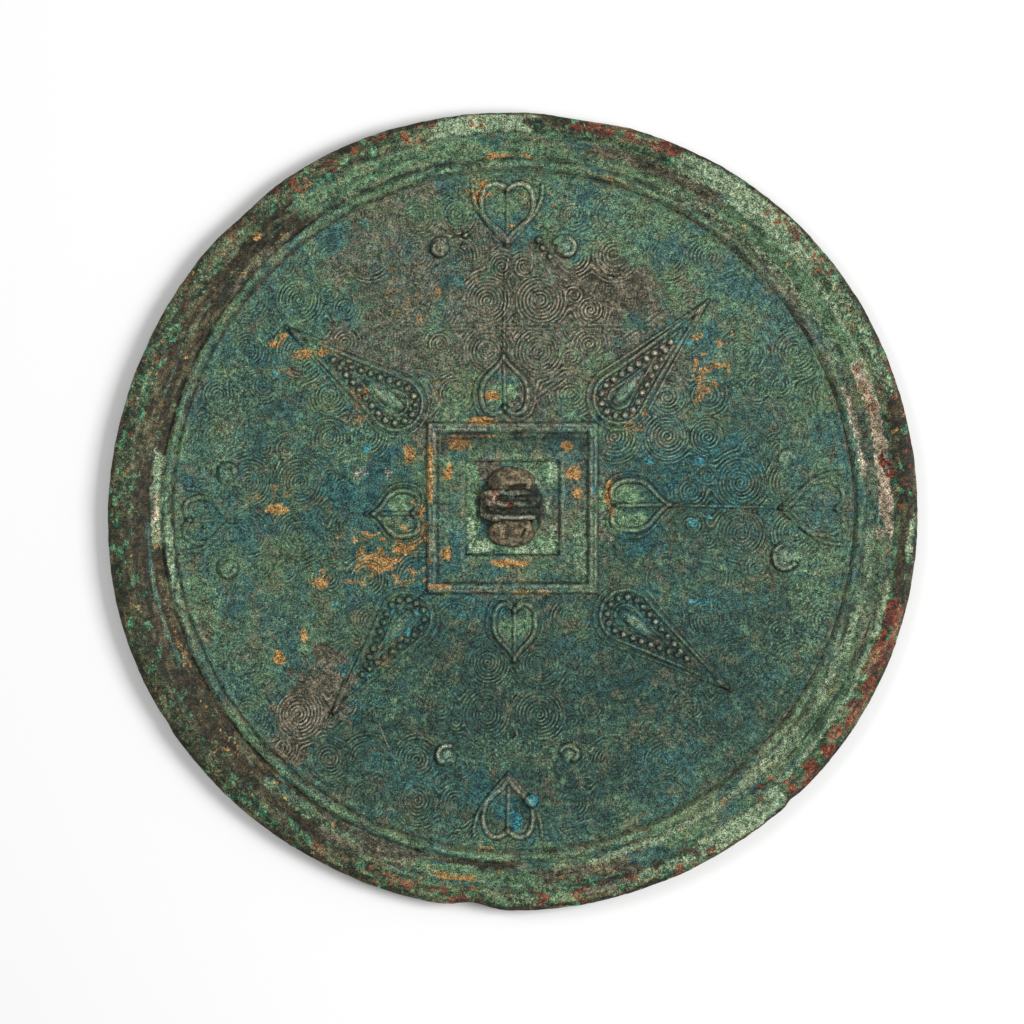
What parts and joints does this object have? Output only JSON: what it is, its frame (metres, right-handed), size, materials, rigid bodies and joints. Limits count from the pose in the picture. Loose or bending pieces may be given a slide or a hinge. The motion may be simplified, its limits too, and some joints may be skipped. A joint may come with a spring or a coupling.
{
  "type": "ancient bronze mirror",
  "caption": "Ancient cast bronze hand mirror: a thin disc with a polished flat face, a raised concave rim, and a decorated back with a pierced strap knob in a square frame.",
  "frame": {"origin": "middle of the flat polished face, which the mirror lies on", "axes": "+Z out of the decorated back, towards the top of the knob; +Y towards the leaf at the top of the back; the knob's strap runs along X and its cord hole along Y"},
  "size_m": [0.2011, 0.1982, 0.0072],
  "materials": {
    "patinated_bronze": "cast high-tin bronze with green malachite and blue azurite patina, ochre earth and red-brown corrosion; matt, with dull bare metal patches"
  },
  "bodies": {
    "root": {"mirror": "patinated_bronze"}
  },
  "joints": []
}
